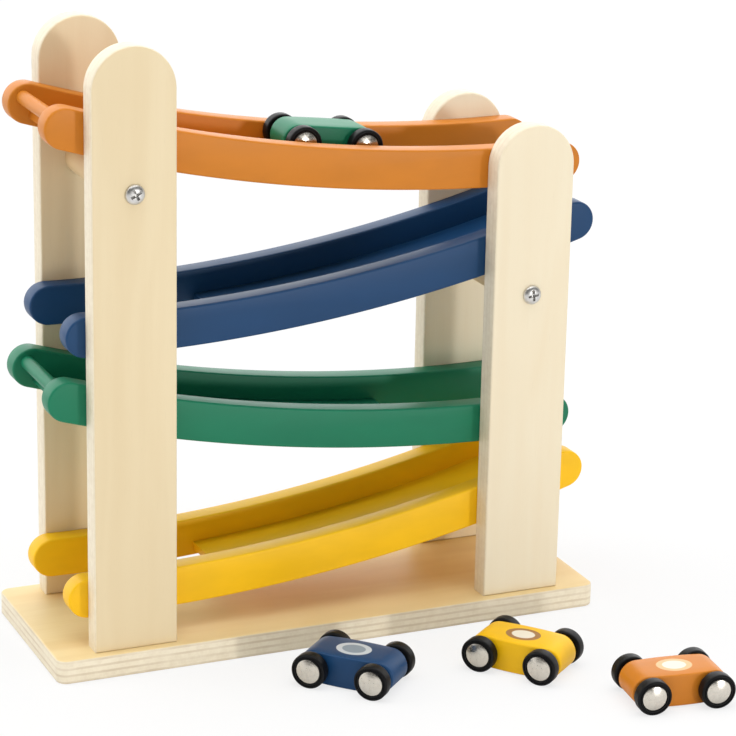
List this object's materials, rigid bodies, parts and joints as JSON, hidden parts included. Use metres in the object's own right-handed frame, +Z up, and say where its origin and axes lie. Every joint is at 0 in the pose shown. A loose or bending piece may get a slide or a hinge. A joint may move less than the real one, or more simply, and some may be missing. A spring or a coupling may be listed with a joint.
{
  "type": "toy car track",
  "caption": "Wooden toy car track: curved painted ramps zigzag between plywood posts on a base board, with small wooden cars that roll down and drop from ramp to ramp.",
  "frame": {"origin": "middle of the base board's underside", "axes": "+Z up, +X along the base board toward the short posts, -Y toward the front where the loose cars stand"},
  "size_m": [0.2993, 0.241, 0.31],
  "materials": {
    "birch_ply": "clear satin varnish on plywood",
    "dowel_wood": "sanded, clear varnish",
    "orange_paint": "satin paint on wood",
    "blue_paint": "satin paint on wood",
    "green_paint": "satin paint on wood",
    "yellow_paint": "satin paint on wood",
    "steel": "bright zinc plated",
    "hub_metal": "bright satin",
    "black_plastic": "satin black"
  },
  "bodies": {
    "track": {"back_left_base_screw": "steel", "back_left_crossbar_screw": "steel", "back_left_post": "birch_ply", "back_right_base_screw": "steel", "back_right_crossbar_screw": "steel", "back_right_post": "birch_ply", "base_board": "birch_ply", "blue_ramp_back_rail": "blue_paint", "blue_ramp_floor": "blue_paint", "blue_ramp_front_rail": "blue_paint", "blue_ramp_stop_bar": "blue_paint", "front_left_base_screw": "steel", "front_left_crossbar_screw": "steel", "front_left_post": "birch_ply", "front_right_base_screw": "steel", "front_right_crossbar_screw": "steel", "front_right_post": "birch_ply", "green_ramp_back_rail": "green_paint", "green_ramp_floor": "green_paint", "green_ramp_front_rail": "green_paint", "green_ramp_stop_bar": "green_paint", "left_crossbar": "dowel_wood", "orange_ramp_back_rail": "orange_paint", "orange_ramp_floor": "orange_paint", "orange_ramp_front_rail": "orange_paint", "orange_ramp_stop_bar": "orange_paint", "right_crossbar": "dowel_wood", "yellow_ramp_back_rail": "yellow_paint", "yellow_ramp_floor": "yellow_paint", "yellow_ramp_front_rail": "yellow_paint", "yellow_ramp_stop_bar": "yellow_paint"},
    "green_car": {"green_car_body": "green_paint"},
    "green_front_wheels": {"green_car_front_axle": "hub_metal", "green_car_front_left_wheel": "black_plastic", "green_car_front_right_wheel": "black_plastic"},
    "green_rear_wheels": {"green_car_rear_axle": "hub_metal", "green_car_rear_left_wheel": "black_plastic", "green_car_rear_right_wheel": "black_plastic"},
    "blue_car": {"blue_car_body": "blue_paint"},
    "blue_front_wheels": {"blue_car_front_axle": "hub_metal", "blue_car_front_left_wheel": "black_plastic", "blue_car_front_right_wheel": "black_plastic"},
    "blue_rear_wheels": {"blue_car_rear_axle": "hub_metal", "blue_car_rear_left_wheel": "black_plastic", "blue_car_rear_right_wheel": "black_plastic"},
    "yellow_car": {"yellow_car_body": "yellow_paint"},
    "yellow_front_wheels": {"yellow_car_front_axle": "hub_metal", "yellow_car_front_left_wheel": "black_plastic", "yellow_car_front_right_wheel": "black_plastic"},
    "yellow_rear_wheels": {"yellow_car_rear_axle": "hub_metal", "yellow_car_rear_left_wheel": "black_plastic", "yellow_car_rear_right_wheel": "black_plastic"},
    "orange_car": {"orange_car_body": "orange_paint"},
    "orange_front_wheels": {"orange_car_front_axle": "hub_metal", "orange_car_front_left_wheel": "black_plastic", "orange_car_front_right_wheel": "black_plastic"},
    "orange_rear_wheels": {"orange_car_rear_axle": "hub_metal", "orange_car_rear_left_wheel": "black_plastic", "orange_car_rear_right_wheel": "black_plastic"}
  },
  "joints": [
    {"name": "green_car_on_ramp", "type": "hinge", "parent": "track", "child": "green_car", "pos_m": [0.1055, 0, 1.06304], "axis": [0, -1, 0], "range_deg": [-8.4, 1.7]},
    {"name": "green_front_axle_turn", "type": "hinge", "parent": "green_car", "child": "green_front_wheels", "pos_m": [0.02751, 0.00445, 0.24545], "axis": [0, 1, 0], "continuous": true},
    {"name": "green_rear_axle_turn", "type": "hinge", "parent": "green_car", "child": "green_rear_wheels", "pos_m": [-0.00527, 0.00445, 0.24924], "axis": [0, 1, 0], "continuous": true},
    {"name": "blue_car_roll", "type": "slide", "parent": "track", "child": "blue_car", "axis": [0.682, -0.7314, 0], "range_m": [-0.012, 0.03]},
    {"name": "blue_front_axle_turn", "type": "hinge", "parent": "blue_car", "child": "blue_front_wheels", "pos_m": [0.00085, -0.10847, 0.0088], "axis": [0.7314, 0.682, 0], "continuous": true},
    {"name": "blue_rear_axle_turn", "type": "hinge", "parent": "blue_car", "child": "blue_rear_wheels", "pos_m": [-0.02165, -0.08433, 0.0088], "axis": [0.7314, 0.682, 0], "continuous": true},
    {"name": "yellow_car_roll", "type": "slide", "parent": "track", "child": "yellow_car", "axis": [0.6293, -0.7771, 0], "range_m": [-0.02, 0.012]},
    {"name": "yellow_front_axle_turn", "type": "hinge", "parent": "yellow_car", "child": "yellow_front_wheels", "pos_m": [0.08538, -0.12212, 0.0088], "axis": [0.7771, 0.6293, 0], "continuous": true},
    {"name": "yellow_rear_axle_turn", "type": "hinge", "parent": "yellow_car", "child": "yellow_rear_wheels", "pos_m": [0.06462, -0.09648, 0.0088], "axis": [0.7771, 0.6293, 0], "continuous": true},
    {"name": "orange_car_roll", "type": "slide", "parent": "track", "child": "orange_car", "axis": [0.9925, -0.1219, 0], "range_m": [-0.008, 0.04]},
    {"name": "orange_front_axle_turn", "type": "hinge", "parent": "orange_car", "child": "orange_front_wheels", "pos_m": [0.14278, -0.17091, 0.0088], "axis": [0.1219, 0.9925, 0], "continuous": true},
    {"name": "orange_rear_axle_turn", "type": "hinge", "parent": "orange_car", "child": "orange_rear_wheels", "pos_m": [0.11002, -0.16689, 0.0088], "axis": [0.1219, 0.9925, 0], "continuous": true}
  ]
}
